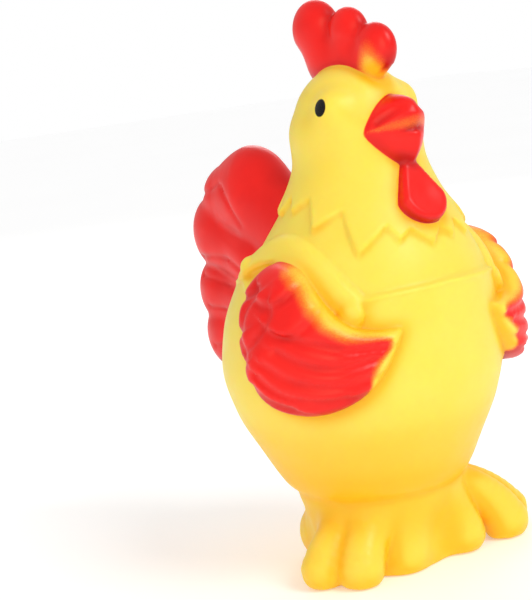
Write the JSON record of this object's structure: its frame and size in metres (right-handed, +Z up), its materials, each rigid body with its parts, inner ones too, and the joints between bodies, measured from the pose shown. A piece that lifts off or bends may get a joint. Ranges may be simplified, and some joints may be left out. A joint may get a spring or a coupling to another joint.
{
  "type": "rubber chicken",
  "caption": "Hollow soft-vinyl squeeze toy shaped as a standing chicken in moulded dungarees, with a press-in reed squeaker in its flat sole.",
  "frame": {"origin": "middle of the sole, on the surface the toy stands on, on the squeaker's axis", "axes": "+Z up, the face looks along -Y, the toy's left side is +X"},
  "size_m": [0.0866, 0.1081, 0.15],
  "materials": {
    "vinyl_skin": "satin moulded vinyl, sprayed red on comb, beak, wattle, wings and tail",
    "squeaker_plastic": "matte",
    "reed_brass": "rolled"
  },
  "bodies": {
    "root": {"body_shell": "vinyl_skin", "squeaker_housing": "squeaker_plastic", "squeaker_cap": "squeaker_plastic", "reed_seat": "squeaker_plastic", "reed_wedge": "squeaker_plastic"},
    "reed": {"reed": "reed_brass"}
  },
  "joints": [
    {"name": "reed_flex", "type": "hinge", "parent": "root", "child": "reed", "pos_m": [0, 0, 0.007], "axis": [1, 0, 0], "range_deg": [-4, 4], "stiffness_Nm_per_rad": 0.0001}
  ]
}
